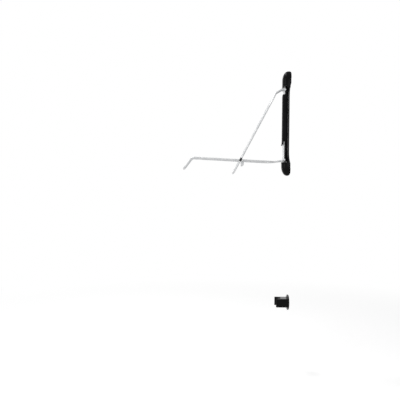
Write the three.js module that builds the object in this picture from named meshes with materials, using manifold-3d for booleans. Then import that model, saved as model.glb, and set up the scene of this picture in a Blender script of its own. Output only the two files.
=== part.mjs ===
// Bicycle wall rack: a wall mount with an upright pivot post, and two bent-wire arms that hold
// the front wheel of a bicycle hung upright. The post swings left and right, and both arms
// fold up against it. A separate rest for the rear tyre sits lower on the wall.
//
// Millimetres, +Z up. The wall is the plane Y = 0 and the room lies towards -Y.
// Heights are measured from the middle of the wall mount. The finished rack is moved so that
// its origin is on the upper foot's back face, midway between its two screws.

import * as THREE from 'three';
import { mergeVertices } from 'three/addons/utils/BufferGeometryUtils.js';
import Module from 'manifold-3d';

const wasm = await Module();
wasm.setup();

// ---------------------------------------------------------------- driving dimensions

const seatGap = 0.3;              // clearance between pieces that touch or turn on each other

// Whole mount
const mountHeight = 616;

// Wall plate
const plateWidth = 48;
const plateThickness = 3;
const plateStandOff = 9;          // gap between the wall and the middle of the plate
const plateHem = 3;               // depth of the plate's side flanges in front of its middle
const hemWidth = 3;
const footInset = 38;             // middle of a foot's two screws to the end of the mount
const footEndInset = 16;          // end of a foot to the end of the mount
const footLength = 56;
const footCorner = 20;
const joggleLength = 78;          // length over which the plate sweeps out from a foot
const wallScrewSpacing = 24;
const wallScrewDiameter = 8;
const wallScrewHeadWidth = 13;    // across the flats
const wallScrewHeadHeight = 5.5;

// Upright pivot
const pivotOffset = 36;           // pivot axis to wall
const tubeDiameter = 15;
const tubeWall = 2.5;
const upperHingeInset = 110;      // hinge axis to the upper end of the mount
const lowerHingeInset = 94;

// Bearing brackets and bushes
const bracketThickness = 3;
const bracketWidth = plateWidth + 2 * (seatGap + bracketThickness);   // cheeks clasp the plate
const cheekInset = 44;            // far end of its side cheeks to the end of the mount
const cheekDepth = 26;            // the cheeks' reach from the wall
const shelfThickness = 4;
const upperShelfInset = 74;       // near face of the shelf to the end of the mount
const lowerShelfInset = 69;
const bushWall = 1.2;
const bushFlangeDiameter = 22;
const bushFlangeThickness = 2.5;
const bushLength = 12;

// End caps
const capDepth = 50;
const capWall = 2.5;
const capDomeHeight = 56;
const capCrownHalfWidth = 12;     // half width and depth where the dome ends
const capCrownDepth = 17;
const capBackRound = 14;          // where the dome curves away from the wall again
const capLipFlare = 1.6;
const capLipHeight = 14;
const upperCapLength = 100;
const lowerCapLength = 79;
const capArchHeight = 11;
const capArchWidth = 23;

// Covers of the swinging post
const coverWidth = 36;
const coverFront = 12.4;          // front face to pivot axis
const coverSeam = 7.2;            // seam between the two covers, behind the pivot axis
const coverBack = 20.7;           // back face to pivot axis
const coverCorner = 11;
const coverWall = 2;
const frontCoverDrop = 27;        // its top edge below the upper hinge
const frontCoverRise = 83;        // its lower lip above the lower hinge
const coverArchHeight = 27;
const coverArchWidth = 20;
const coverLipFlare = 3.6;
const backCoverClearance = 4;     // its ends to the edges of the caps
const ribThickness = 2;
const ribSpacing = 108;
const coverScrewDiameter = 4;
const coverScrewHead = 7.6;
const coverScrewHeadHeight = 2.6;
const coverScrewLength = 16;
const coverScrewSpacing = 180;
const coverBossSize = 11;

// Hinges of the arms
const hingeBoltDiameter = 6;
const hingeBushWall = 1.4;
const eyeWall = 1.8;
const eyeLength = 9.6;
const boltHeadWidth = 10;
const boltHeadHeight = 3.6;
const nutHeight = 4;

// Thrust parts of the pivot
const collarDiameter = 21;
const collarHeight = 6;
const washerThickness = 1.5;
const clipThickness = 1.5;
const clipDiameter = 19;
const tubeEndAllowance = 3;       // tube beyond its clip or bush

// Wire arms
const wireDiameter = 10;
const neckHalfWidth = 13;       // wire centre to the middle plane, at the hinges
const neckBend = 12;

const upperNeckReach = 18;        // level start of the neck, out from the hinge
const upperNeckRise = 0.5;
const upperElbowReach = 52;       // where the neck turns down
const upperElbowDrop = 20;
const upperElbowHalfWidth = 20;
const upperArmHalfWidth = 54;
const upperSplayReach = 88;       // where the wires run parallel again
const upperSplayDrop = 89;
const upperSplayBend = 34;
const upperBarReach = 298;        // cross bar under the tyre
const upperBarBelow = 82;         // cross bar below the lower hinge
const upperBarBend = 28;

const lowerNeckReach = 16;
const lowerNeckDrop = 7;
const lowerSplayStart = 60;
const lowerRailDrop = 14;         // rails below the hinge
const lowerSplayHalfWidth = 15;
const lowerArmHalfWidth = 40;
const lowerSplayEnd = 96;
const lowerSplayBend = 26;
const cradleReach = 540;          // where the rails turn down into the cradle
const railRise = 19;              // rise of the rails from the splay to the cradle
const cradleBend = 20;
const cradleBarReach = 589;
const cradleBarDrop = 60;
const cradleBarBend = 22;

const pegInset = 13;              // peg to the crossing of the wires, on the wall side
const pegLength = 32;
const pegDiameter = 12;

const sleeveWall = 0.8;
const sleeveLength = 20;

// Rear tyre rest
const restHeight = -1054;
const restFlangeDiameter = 90;
const restFlangeThickness = 8;
const restFlangeRound = 3.5;
const restBodyHeight = 50;
const restBodyWidth = 78;
const restReach = 76;             // cheek tips to wall
const restGrooveDepth = 30;
const restGrooveMouth = 60;
const restGrooveFloor = 30;
const restCorner = 7;
const restTipRound = 4;
const restEdgeRound = 3;
const restWall = 3.5;
const restWeb = 14;               // solid middle web between the two moulding pockets
const restScrewSpacing = 75;
const restScrewDiameter = 5;
const restScrewHead = 9.4;
const restScrewHeadHeight = 3;

// ---------------------------------------------------------------- heights worked out from them

const mountEnd = mountHeight / 2;
const footMiddle = mountEnd - footInset;
const footFar = mountEnd - footEndInset;
const footNear = footFar - footLength;
const cheekTop = mountEnd - cheekInset;
const upperShelfHeight = mountEnd - upperShelfInset;
const lowerShelfHeight = mountEnd - lowerShelfInset;
const upperCapEdge = mountEnd - upperCapLength;
const lowerCapEdge = mountEnd - lowerCapLength;
const upperHingeHeight = mountEnd - upperHingeInset;
const lowerHingeHeight = lowerHingeInset - mountEnd;
const upperBarDrop = upperHingeHeight - lowerHingeHeight + upperBarBelow;
const frontCoverTop = upperHingeHeight - frontCoverDrop;
const frontCoverLip = lowerHingeHeight + frontCoverRise;
const backCoverTop = upperCapEdge - backCoverClearance;
const backCoverBottom = backCoverClearance - lowerCapEdge;
const coverMiddle = (frontCoverTop + frontCoverLip + coverArchHeight) / 2;
const coverScrewHeights = [coverMiddle - coverScrewSpacing / 2, coverMiddle + coverScrewSpacing / 2];

// ---------------------------------------------------------------- finishes

function finish(color, roughness, metalness) {
  return new THREE.MeshStandardMaterial({ color, roughness, metalness });
}

const powderCoat = finish(0xdedfe0, 0.38, 0.35);
const blackSteel = finish(0x1b1c1e, 0.5, 0.3);
const glossBlack = finish(0x0b0b0c, 0.16, 0);
const satinBlack = finish(0x151517, 0.42, 0);
const acetal = finish(0x2c2d30, 0.5, 0);
const zincSteel = finish(0xb4b8bc, 0.32, 0.9);
const rubber = finish(0x101011, 0.75, 0);

// ---------------------------------------------------------------- modelling helpers

const finestAngle = THREE.MathUtils.degToRad(14);   // one facet of a bend
const roundSides = 24;
const smallSides = 16;
const wireSides = 12;

// A manifold solid made from any closed three.js geometry.
function solid(geometry) {
  const bare = geometry.clone();
  bare.deleteAttribute('normal');
  bare.deleteAttribute('uv');
  const merged = mergeVertices(bare, 1e-4);
  return new wasm.Manifold(new wasm.Mesh({
    numProp: 3,
    vertProperties: new Float32Array(merged.attributes.position.array),
    triVerts: new Uint32Array(merged.index.array),
  }));
}

function geometryOf(body) {
  const mesh = body.getMesh();
  const geometry = new THREE.BufferGeometry();
  geometry.setAttribute('position', new THREE.BufferAttribute(mesh.vertProperties, 3));
  geometry.setIndex(new THREE.BufferAttribute(mesh.triVerts, 1));
  geometry.computeVertexNormals();
  return geometry;
}

function addPiece(parent, name, material, body) {
  const mesh = new THREE.Mesh(geometryOf(body), material);
  mesh.name = name;
  parent.add(mesh);
  return mesh;
}

// Round bar between two points; six sides make a hexagon whose flats face the chosen way.
function bar(diameter, from, to, sides = roundSides) {
  const axis = new THREE.Vector3().subVectors(to, from);
  const geometry = new THREE.CylinderGeometry(diameter / 2, diameter / 2, axis.length(), sides);
  const turn = new THREE.Quaternion().setFromUnitVectors(new THREE.Vector3(0, 1, 0), axis.clone().normalize());
  geometry.applyQuaternion(turn);
  geometry.translate(...new THREE.Vector3().addVectors(from, to).multiplyScalar(0.5));
  return solid(geometry);
}

function hexagon(width, from, to) {
  return bar(width / Math.cos(Math.PI / 6), from, to, 6);
}

function at(x, y, z) {
  return new THREE.Vector3(x, y, z);
}

function block(x, y, z) {
  const geometry = new THREE.BoxGeometry(x[1] - x[0], y[1] - y[0], z[1] - z[0]);
  geometry.translate((x[0] + x[1]) / 2, (y[0] + y[1]) / 2, (z[0] + z[1]) / 2);
  return solid(geometry);
}

// An outline of (Y, Z) points run from one X to another.
function runAlongX(shape, from, to, segments = 8) {
  const geometry = new THREE.ExtrudeGeometry(shape, {
    depth: to - from,
    bevelEnabled: false,
    curveSegments: segments,
  });
  geometry.applyMatrix4(new THREE.Matrix4().makeBasis(at(0, 1, 0), at(0, 0, 1), at(1, 0, 0)));
  geometry.translate(from, 0, 0);
  return solid(geometry);
}

// An outline of (X, Z) points run out from the wall by a depth, from one Y to a lower one.
function runAlongY(shape, from, to, segments = 8) {
  const geometry = new THREE.ExtrudeGeometry(shape, {
    depth: from - to,
    bevelEnabled: false,
    curveSegments: segments,
  });
  geometry.applyMatrix4(new THREE.Matrix4().makeBasis(at(1, 0, 0), at(0, 0, 1), at(0, -1, 0)));
  geometry.translate(0, from, 0);
  return solid(geometry);
}

// An outline of (X, Y) points run from one height to another.
function runAlongZ(shape, from, to, segments = 8) {
  const geometry = new THREE.ExtrudeGeometry(shape, {
    depth: to - from,
    bevelEnabled: false,
    curveSegments: segments,
  });
  geometry.translate(0, 0, from);
  return solid(geometry);
}

// A skin over a stack of level sections, all with the same number of (X, Y) points,
// listed anticlockwise and from the lowest height to the highest.
function loft(sections) {
  const count = sections[0].outline.length;
  const positions = [];
  for (const { height, outline } of sections) {
    for (const point of outline) {
      positions.push(point.x, point.y, height);
    }
  }
  const faces = [];
  for (let level = 0; level < sections.length - 1; level += 1) {
    for (let i = 0; i < count; i += 1) {
      const a = level * count + i;
      const b = level * count + (i + 1) % count;
      faces.push(a, b, b + count, a, b + count, a + count);
    }
  }
  const last = (sections.length - 1) * count;
  for (let i = 1; i < count - 1; i += 1) {
    faces.push(0, i + 1, i);
    faces.push(last, last + i, last + i + 1);
  }
  const geometry = new THREE.BufferGeometry();
  geometry.setAttribute('position', new THREE.Float32BufferAttribute(positions, 3));
  geometry.setIndex(faces);
  return solid(geometry);
}

function ellipseShape(centreX, centreY, width, height) {
  const shape = new THREE.Shape();
  shape.absellipse(centreX, centreY, width / 2, height / 2, 0, Math.PI * 2);
  return new THREE.Shape(shape.getPoints(24).slice(0, -1));
}

// The middle line of a bent wire: straight runs joined by round bends of a given radius.
class WirePath extends THREE.Curve {
  constructor(corners) {
    super();
    this.stations = [];
    const directions = corners.slice(1).map((corner, i) => corner.at.clone().sub(corners[i].at).normalize());
    this.stations.push({ point: corners[0].at, tangent: directions[0] });
    for (let i = 1; i < corners.length - 1; i += 1) {
      this.addBend(corners[i], directions[i - 1], directions[i]);
    }
    this.stations.push({ point: corners.at(-1).at, tangent: directions.at(-1) });
  }

  addBend(corner, before, after) {
    const angle = before.angleTo(after);
    const start = corner.at.clone().addScaledVector(before, -corner.bend * Math.tan(angle / 2));
    const inward = after.clone().addScaledVector(before, -after.dot(before)).normalize();
    const steps = Math.max(2, Math.ceil(angle / finestAngle));
    for (let step = 0; step <= steps; step += 1) {
      const turned = angle * step / steps;
      const point = start.clone()
        .addScaledVector(before, corner.bend * Math.sin(turned))
        .addScaledVector(inward, corner.bend * (1 - Math.cos(turned)));
      const tangent = before.clone().multiplyScalar(Math.cos(turned)).addScaledVector(inward, Math.sin(turned));
      this.stations.push({ point, tangent });
    }
  }

  // Stations sit only where the wire bends, so the curve is read at them and not at even spacing.
  getUtoTmapping(u) {
    return u;
  }

  between(t, key, target) {
    const place = t * (this.stations.length - 1);
    const first = Math.min(Math.floor(place + 1e-6), this.stations.length - 2);
    return target.lerpVectors(this.stations[first][key], this.stations[first + 1][key], place - first);
  }

  getPoint(t, target = new THREE.Vector3()) {
    return this.between(t, 'point', target);
  }

  getTangent(t, target = new THREE.Vector3()) {
    return this.between(t, 'tangent', target).normalize();
  }
}

function bentWire(corners) {
  const path = new WirePath(corners);
  const section = new THREE.Shape();
  for (let i = 0; i < wireSides; i += 1) {
    const angle = Math.PI * 2 * (i + 0.5) / wireSides;
    const x = wireDiameter / 2 * Math.cos(angle);
    const y = wireDiameter / 2 * Math.sin(angle);
    if (i === 0) {
      section.moveTo(x, y);
    } else {
      section.lineTo(x, y);
    }
  }
  return solid(new THREE.ExtrudeGeometry(section, {
    steps: path.stations.length - 1,
    extrudePath: path,
    bevelEnabled: false,
  }));
}

// Half of a loop, given from its hinge to its cross bar, made whole by its mirror image.
function mirroredLoop(half) {
  const other = half.map(({ at: point, bend }) => ({ at: at(-point.x, point.y, point.z), bend }));
  return half.concat(other.reverse());
}

// ---------------------------------------------------------------- wall plate and its fixings

const holeDiameter = wallScrewDiameter + 2 * seatGap;
const footScrewHeights = [footMiddle - wallScrewSpacing / 2, footMiddle + wallScrewSpacing / 2];

// Side outline of a strip that lies on the wall at both feet and sweeps out between them,
// with a straight front or one that keeps the same thickness all along.
function stripOutline(thickness, straightFront) {
  const stepNear = footNear - joggleLength;
  const sweep = footNear - joggleLength * 0.35;
  const front = -plateStandOff - thickness;
  const outline = new THREE.Shape();
  outline.moveTo(0, footFar);
  outline.lineTo(0, footNear);
  outline.quadraticCurveTo(-plateStandOff, sweep, -plateStandOff, stepNear);
  outline.lineTo(-plateStandOff, -stepNear);
  outline.quadraticCurveTo(-plateStandOff, -sweep, 0, -footNear);
  outline.lineTo(0, -footFar);
  if (straightFront) {
    outline.lineTo(front, -footFar);
    outline.lineTo(front, footFar);
  } else {
    outline.lineTo(-thickness, -footFar);
    outline.lineTo(-thickness, -footNear);
    outline.quadraticCurveTo(front, -sweep, front, -stepNear);
    outline.lineTo(front, stepNear);
    outline.quadraticCurveTo(front, sweep, -thickness, footNear);
    outline.lineTo(-thickness, footFar);
  }
  return outline;
}

// The pressed plate stands off the wall between its feet and is stiffened by a flange on each side.
function wallPlate() {
  let plate = runAlongX(stripOutline(plateThickness, false), -plateWidth / 2, plateWidth / 2, 6);
  const cornerX = plateWidth / 2 - footCorner;
  const cornerZ = footFar - footCorner;
  const outline = new THREE.Shape();
  outline.absarc(cornerX, cornerZ, footCorner, 0, Math.PI / 2);
  outline.absarc(-cornerX, cornerZ, footCorner, Math.PI / 2, Math.PI);
  outline.absarc(-cornerX, -cornerZ, footCorner, Math.PI, Math.PI * 1.5);
  outline.absarc(cornerX, -cornerZ, footCorner, Math.PI * 1.5, Math.PI * 2);
  plate = plate.intersect(runAlongY(outline, 1, -pivotOffset));
  const flanges = runAlongX(stripOutline(plateThickness + plateHem, true), -plateWidth / 2, plateWidth / 2, 6);
  const flangeEnd = footNear - 2 * plateHem;
  const between = plateWidth / 2 - hemWidth;
  plate = plate.add(flanges
    .intersect(block([-plateWidth, plateWidth], [-pivotOffset, 1], [-flangeEnd, flangeEnd]))
    .subtract(block([-between, between], [-pivotOffset, 1], [-footFar, footFar])));
  for (const height of footScrewHeights) {
    for (const end of [-1, 1]) {
      const hole = bar(holeDiameter, at(0, 1, end * height), at(0, -plateThickness - 1, end * height), smallSides);
      plate = plate.subtract(hole);
    }
  }
  return plate;
}

// Pressed bracket that the wall screws clamp over a foot. Its shelf holds the pivot bush,
// and its side cheeks show below the cap.
function bearingBracket(shelfHeight, nearEdge) {
  const back = -plateThickness - seatGap;
  const front = back - bracketThickness;
  const half = bracketWidth / 2;
  const webOutline = new THREE.Shape();
  webOutline.moveTo(-half, footNear);
  webOutline.lineTo(half, footNear);
  webOutline.lineTo(half, cheekTop);
  webOutline.quadraticCurveTo(half * 0.9, footFar, 0, footFar);
  webOutline.quadraticCurveTo(-half * 0.9, footFar, -half, cheekTop);
  const web = runAlongY(webOutline, back, front);
  const shelfReach = pivotOffset + bushFlangeDiameter / 2;
  const shelfOutline = new THREE.Shape();
  const shelfHalf = half - bracketThickness / 2;
  shelfOutline.moveTo(shelfHalf, back - bracketThickness / 2);
  shelfOutline.lineTo(-shelfHalf, back - bracketThickness / 2);
  shelfOutline.lineTo(-shelfHalf, -cheekDepth);
  shelfOutline.quadraticCurveTo(-bushFlangeDiameter / 2, -shelfReach, 0, -shelfReach);
  shelfOutline.quadraticCurveTo(bushFlangeDiameter / 2, -shelfReach, shelfHalf, -cheekDepth);
  const shelf = runAlongZ(shelfOutline, shelfHeight, shelfHeight + shelfThickness);
  const cheekOutline = new THREE.Shape();
  cheekOutline.moveTo(back - bracketThickness / 2, nearEdge);
  cheekOutline.lineTo(back - bracketThickness / 2, cheekTop);
  cheekOutline.quadraticCurveTo(-cheekDepth, cheekTop, -cheekDepth, shelfHeight + shelfThickness);
  cheekOutline.lineTo(-cheekDepth, nearEdge + bracketThickness);
  cheekOutline.lineTo(-cheekDepth + bracketThickness, nearEdge);
  const boreRadius = tubeDiameter / 2 + 2 * seatGap + bushWall;
  const bore = bar(2 * boreRadius, at(0, -pivotOffset, shelfHeight - 1),
    at(0, -pivotOffset, shelfHeight + shelfThickness + 1));
  let bracket = web.add(shelf);
  for (const side of [-1, 1]) {
    const outer = side * half;
    const inner = outer - side * bracketThickness;
    bracket = bracket.add(runAlongX(cheekOutline, Math.min(outer, inner), Math.max(outer, inner)));
  }
  for (const height of footScrewHeights) {
    bracket = bracket.subtract(bar(holeDiameter, at(0, 0, height), at(0, 2 * front, height), smallSides));
  }
  return bracket.subtract(bore);
}

function pivotBush(shelfHeight) {
  const bore = tubeDiameter + 2 * seatGap;
  const flangeFar = shelfHeight - seatGap;
  const flangeNear = flangeFar - bushFlangeThickness;
  const flange = bar(bushFlangeDiameter, at(0, 0, flangeNear), at(0, 0, flangeFar));
  const sleeve = bar(bore + 2 * bushWall, at(0, 0, flangeNear), at(0, 0, shelfHeight + bushLength));
  const hole = bar(bore, at(0, 0, flangeNear - 1), at(0, 0, shelfHeight + bushLength + 1));
  return flange.add(sleeve).subtract(hole);
}

// The shank stops at the wall face, so that both feet stay flat to whatever they are fixed to.
function wallScrew() {
  const seat = -plateThickness - 2 * seatGap - bracketThickness;
  const washerWidth = wallScrewHeadWidth + 4;
  const washer = bar(washerWidth, at(0, seat, 0), at(0, seat - 1.6, 0));
  const head = hexagon(wallScrewHeadWidth, at(0, seat - 1, 0), at(0, seat - wallScrewHeadHeight, 0));
  const shank = bar(wallScrewDiameter, at(0, 0, 0), at(0, seat - 1, 0), smallSides);
  return washer.add(head).add(shank);
}

// Level section of a cap: flat against the wall, full and rounded towards the room.
function capSection(halfWidth, depth, back) {
  const points = [new THREE.Vector2(halfWidth, back), new THREE.Vector2(-halfWidth, back)];
  const shoulder = -depth * 0.54;
  const power = 0.82;
  const steps = 16;
  for (let i = 0; i <= steps; i += 1) {
    const angle = Math.PI * i / steps;
    const across = Math.sign(Math.cos(angle)) * Math.abs(Math.cos(angle)) ** power;
    const out = Math.sin(angle) ** power;
    points.push(new THREE.Vector2(-halfWidth * across, shoulder - (depth + shoulder) * out));
  }
  return points;
}

// Full-width lower part with a flared lip, and a dome. The back is given for each height.
function capForm(edge, inset, backAt) {
  const halfWidth = bracketWidth / 2 + seatGap + capWall - inset;
  const depth = capDepth - inset;
  const domeStart = mountEnd - capDomeHeight;
  const sections = [];
  const flareSteps = 3;
  for (let i = 0; i < flareSteps; i += 1) {
    const share = 1 - i / flareSteps;
    const flare = capLipFlare * share * share;
    const height = edge + capLipHeight * (1 - share);
    sections.push({ height, outline: capSection(halfWidth + flare * 0.4, depth + flare, backAt(height)) });
  }
  const domeSteps = 8;
  for (let i = 0; i <= domeSteps; i += 1) {
    const angle = Math.PI / 2 * i / domeSteps;
    const share = Math.cos(angle);
    const height = domeStart + (capDomeHeight - inset) * Math.sin(angle);
    sections.push({
      height,
      outline: capSection(
        capCrownHalfWidth + (halfWidth - capCrownHalfWidth) * share ** 0.6,
        capCrownDepth + (depth - capCrownDepth) * share,
        backAt(height),
      ),
    });
  }
  return loft(sections);
}

// Back of the dome: flat to the wall, then curved away from it over the last stretch.
function domeBack(height, inset) {
  const radius = capBackRound - inset;
  const past = Math.max(0, height - (mountEnd - capBackRound));
  return -seatGap - inset - radius + Math.sqrt(Math.max(0, radius * radius - past * past));
}

// Moulded cap over a bearing bracket: open towards the arms, and open at the back as far as the
// foot reaches. Its side walls stop short of the wall near the arms, where the cheeks show.
function endCap(edge, archHeight) {
  const outside = capForm(edge, 0, (height) => domeBack(height, 0));
  const hollow = capForm(edge, capWall, (height) => domeBack(height, capWall));
  const behind = capForm(edge, capWall, () => 1)
    .intersect(block([-bracketWidth, bracketWidth], [-capDepth, 2], [0, mountEnd - capBackRound]));
  const inside = hollow.add(behind);
  const mouth = inside.add(inside.translate(0, 0, -capLipHeight / 2));
  let cap = outside.subtract(mouth);
  const sideNotch = new THREE.Shape();
  const notchTop = cheekTop + seatGap;
  sideNotch.moveTo(1, edge - capLipHeight);
  sideNotch.lineTo(1, notchTop);
  sideNotch.quadraticCurveTo(-cheekDepth * 0.9, notchTop, -cheekDepth * 0.8, (edge + notchTop) / 2);
  sideNotch.quadraticCurveTo(-cheekDepth * 0.68, edge + capLipHeight / 2, -cheekDepth * 0.85, edge - 1);
  sideNotch.lineTo(-cheekDepth * 0.85, edge - capLipHeight);
  cap = cap.subtract(runAlongX(sideNotch, -bracketWidth, bracketWidth, 10));
  if (archHeight > 0) {
    const arch = ellipseShape(-pivotOffset, edge, capArchWidth, 2 * archHeight);
    cap = cap.subtract(runAlongX(arch, -bracketWidth, bracketWidth));
  }
  return cap;
}

// ---------------------------------------------------------------- swinging post

const hingeHeights = { upper: upperHingeHeight, lower: lowerHingeHeight };
const eyeInner = tubeDiameter / 2 + 2 * seatGap;
const eyeOuter = eyeInner + eyeLength;
const hingeBore = hingeBoltDiameter + 2 * seatGap;

const upperBushTop = upperShelfHeight + bushLength;
const lowerBushTop = -lowerShelfHeight + seatGap + bushFlangeThickness;
const tubeTop = upperBushTop + seatGap + clipThickness + tubeEndAllowance;
const tubeBottom = -lowerShelfHeight - bushLength - tubeEndAllowance;

// Pivot tube, cross drilled for the two hinge bolts and the two cover screws.
function pivotTube() {
  let tube = bar(tubeDiameter, at(0, 0, tubeBottom), at(0, 0, tubeTop));
  tube = tube.subtract(bar(tubeDiameter - 2 * tubeWall, at(0, 0, tubeBottom - 1), at(0, 0, tubeTop + 1)));
  for (const height of Object.values(hingeHeights)) {
    tube = tube.subtract(bar(hingeBore, at(-tubeDiameter, 0, height), at(tubeDiameter, 0, height), smallSides));
  }
  for (const height of coverScrewHeights) {
    const hole = bar(coverScrewDiameter + 2 * seatGap, at(0, 0, height), at(0, tubeDiameter, height), smallSides);
    tube = tube.subtract(hole);
  }
  return tube;
}

function ringOnTube(outerDiameter, from, to) {
  const bore = bar(tubeDiameter + 2 * seatGap, at(0, 0, from - 1), at(0, 0, to + 1));
  return bar(outerDiameter, at(0, 0, from), at(0, 0, to)).subtract(bore);
}

// Level section of the front cover: straight sides and round front corners.
function frontCoverSection(inset, flare, back) {
  const half = coverWidth / 2 - inset;
  const front = -coverFront - flare + inset;
  const corner = coverCorner - inset;
  const points = [new THREE.Vector2(half, back), new THREE.Vector2(-half, back)];
  const steps = 6;
  for (const side of [-1, 1]) {
    for (let i = 0; i <= steps; i += 1) {
      const angle = Math.PI / 2 * (side < 0 ? i : steps - i) / steps;
      points.push(new THREE.Vector2(
        side * (half - corner + corner * Math.cos(angle)),
        front + corner - corner * Math.sin(angle),
      ));
    }
  }
  return points;
}

function frontCoverForm(inset, back, bottom, top) {
  const sections = [];
  const flareSteps = 5;
  for (let i = 0; i <= flareSteps; i += 1) {
    const share = 1 - i / flareSteps;
    sections.push({
      height: bottom + coverArchHeight * (1 - share),
      outline: frontCoverSection(inset, coverLipFlare * share * share, back),
    });
  }
  sections.push({ height: top, outline: frontCoverSection(inset, 0, back) });
  return loft(sections);
}

// Front shell with a flared lip and an arch in each side at its lower end. Three ribs inside
// saddle the tube.
function frontCover() {
  const outside = frontCoverForm(0, coverSeam, frontCoverLip, frontCoverTop);
  const inside = frontCoverForm(coverWall, coverSeam + 1, frontCoverLip, frontCoverTop);
  let cover = outside.subtract(inside.translate(0, 0, 1).add(inside.translate(0, 0, -1)));
  const half = coverWidth / 2 - coverWall / 2;
  const tubeClearance = bar(tubeDiameter + 2 * seatGap, at(0, 0, frontCoverLip), at(0, 0, frontCoverTop));
  for (const step of [-1, 0, 1]) {
    const height = coverMiddle + step * ribSpacing;
    const rib = block([-half, half], [-coverFront + coverWall / 2, 0], [height, height + ribThickness]);
    cover = cover.add(rib.intersect(outside).subtract(tubeClearance));
  }
  const arch = ellipseShape(0, frontCoverLip, coverArchWidth, 2 * coverArchHeight);
  return cover.subtract(runAlongX(arch, -coverWidth, coverWidth));
}

function backCoverShape(inset, front) {
  const half = coverWidth / 2 - inset;
  const bulge = coverBack - coverSeam - seatGap - inset;
  const middle = coverSeam + seatGap;
  const points = [new THREE.Vector2(-half, front), new THREE.Vector2(half, front)];
  const steps = 14;
  for (let i = 0; i <= steps; i += 1) {
    const angle = Math.PI * i / steps;
    points.push(new THREE.Vector2(half * Math.cos(angle), middle + bulge * Math.sin(angle)));
  }
  return new THREE.Shape(points);
}

// Back shell behind the whole length of the tube, with two bosses that reach the tube.
function backCover() {
  const front = coverSeam + seatGap;
  const outside = runAlongZ(backCoverShape(0, front - 0.01), backCoverBottom, backCoverTop);
  const inside = runAlongZ(backCoverShape(coverWall, front - 1), backCoverBottom - 1, backCoverTop + 1);
  let cover = outside.subtract(inside);
  const tubeClearance = bar(tubeDiameter + 2 * seatGap, at(0, 0, backCoverBottom), at(0, 0, backCoverTop));
  for (const height of coverScrewHeights) {
    const half = coverBossSize / 2;
    const boss = block([-half, half], [0, coverBack - coverWall / 2], [height - half, height + half]);
    cover = cover.add(boss.subtract(tubeClearance));
    const shank = bar(coverScrewDiameter + 2 * seatGap, at(0, 0, height), at(0, coverBack + 1, height), smallSides);
    const recess = bar(coverScrewHead + 2 * seatGap, at(0, coverBack - coverScrewHeadHeight - seatGap, height),
      at(0, coverBack + 1, height), smallSides);
    cover = cover.subtract(shank).subtract(recess);
  }
  return cover;
}

function coverScrew() {
  const outer = coverBack - seatGap;
  const under = outer - coverScrewHeadHeight + seatGap;
  const head = bar(coverScrewHead, at(0, under, 0), at(0, outer, 0), smallSides);
  const shank = bar(coverScrewDiameter, at(0, outer - coverScrewLength, 0), at(0, under + 0.5, 0), smallSides);
  const socket = hexagon(2.5, at(0, outer - 1.4, 0), at(0, outer + 1, 0));
  return head.add(shank).subtract(socket);
}

function hingeBolt() {
  const underHead = eyeOuter + seatGap;
  const nutFar = -(eyeOuter + 2 * seatGap + nutHeight);
  const head = hexagon(boltHeadWidth, at(underHead, 0, 0), at(underHead + boltHeadHeight, 0, 0));
  const shank = bar(hingeBoltDiameter, at(nutFar - 0.4, 0, 0), at(underHead + 1, 0, 0), smallSides);
  return head.add(shank);
}

function hingeNut() {
  const near = -(eyeOuter + seatGap);
  const nut = hexagon(boltHeadWidth, at(near, 0, 0), at(near - nutHeight, 0, 0));
  return nut.subtract(bar(hingeBore, at(near + 1, 0, 0), at(near - nutHeight - 1, 0, 0), smallSides));
}

// ---------------------------------------------------------------- arms

const eyeBore = hingeBore + 2 * hingeBushWall + 2 * seatGap;
const eyeDiameter = eyeBore + 2 * eyeWall;

// Wire loop with an eye welded to each end. The arm's own origin is its hinge axis.
function armWeldment(loop, extras = []) {
  let arm = bentWire(loop);
  for (const side of [-1, 1]) {
    arm = arm.add(bar(eyeDiameter, at(side * eyeInner, 0, 0), at(side * eyeOuter, 0, 0)));
  }
  for (const extra of extras) {
    arm = arm.add(extra);
  }
  return arm.subtract(bar(eyeBore, at(-eyeOuter - 1, 0, 0), at(eyeOuter + 1, 0, 0)));
}

function hingeBush(side) {
  const tube = bar(hingeBore + 2 * hingeBushWall, at(side * eyeInner, 0, 0), at(side * eyeOuter, 0, 0), smallSides);
  return tube.subtract(bar(hingeBore, at(side * (eyeInner - 1), 0, 0), at(side * (eyeOuter + 1), 0, 0), smallSides));
}

function upperArmLoop() {
  return mirroredLoop([
    { at: at(neckHalfWidth, 0, upperNeckRise) },
    { at: at(neckHalfWidth, -upperNeckReach, upperNeckRise), bend: neckBend },
    { at: at(upperElbowHalfWidth, -upperElbowReach, -upperElbowDrop), bend: neckBend },
    { at: at(upperArmHalfWidth, -upperSplayReach, -upperSplayDrop), bend: upperSplayBend },
    { at: at(upperArmHalfWidth, -upperBarReach, -upperBarDrop), bend: upperBarBend },
  ]);
}

function lowerArmLoop() {
  return mirroredLoop([
    { at: at(neckHalfWidth, 0, 0) },
    { at: at(neckHalfWidth, -lowerNeckReach, -lowerNeckDrop), bend: neckBend },
    { at: at(lowerSplayHalfWidth, -lowerSplayStart, -lowerRailDrop), bend: lowerSplayBend },
    { at: at(lowerArmHalfWidth, -lowerSplayEnd, -lowerRailDrop), bend: lowerSplayBend },
    { at: at(lowerArmHalfWidth, -cradleReach, -lowerRailDrop + railRise), bend: cradleBend },
    { at: at(lowerArmHalfWidth, -cradleBarReach, -cradleBarDrop), bend: cradleBarBend },
  ]);
}

function railHeightAt(reach) {
  return -lowerRailDrop + railRise * (reach - lowerSplayEnd) / (cradleReach - lowerSplayEnd);
}

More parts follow.
